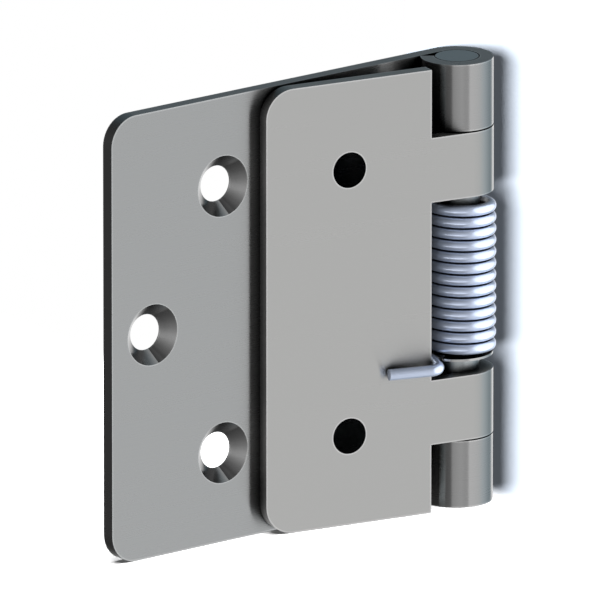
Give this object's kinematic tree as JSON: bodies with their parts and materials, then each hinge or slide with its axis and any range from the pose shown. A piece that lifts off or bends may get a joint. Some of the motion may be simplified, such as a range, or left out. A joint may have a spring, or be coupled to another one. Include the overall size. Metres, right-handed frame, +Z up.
{
  "type": "spring hinge",
  "caption": "Self-closing door hinge: two pressed steel leaves curled round one pin, with a torsion spring coiled between the inner knuckles.",
  "frame": {"origin": "on the wide leaf's seating face, half way between its two inner screw holes", "axes": "+Z up along the pin, +X from the wide leaf's free edge towards the pin, +Y out of the wide leaf's seating face"},
  "size_m": [0.1002, 0.0216, 0.1],
  "materials": {
    "leaf_steel": "satin, fine brushing along the leaf",
    "pin_steel": "drawn bar, dull",
    "spring_wire": "bright plated wire",
    "ring_steel": "bright stamped"
  },
  "bodies": {
    "wide_leaf": {"wide_leaf": "leaf_steel", "hinge_pin": "pin_steel", "torsion_spring": "spring_wire"},
    "narrow_leaf": {"narrow_leaf": "leaf_steel", "retaining_ring": "ring_steel"}
  },
  "joints": [
    {"name": "leaf_hinge", "type": "hinge", "parent": "wide_leaf", "child": "narrow_leaf", "pos_m": [0.0609, -0.008, 0], "axis": [0, 0, 1], "range_deg": [0, 191.26], "stiffness_Nm_per_rad": 0.63, "springref_deg": -28.65, "deforming": ["torsion_spring"]}
  ]
}
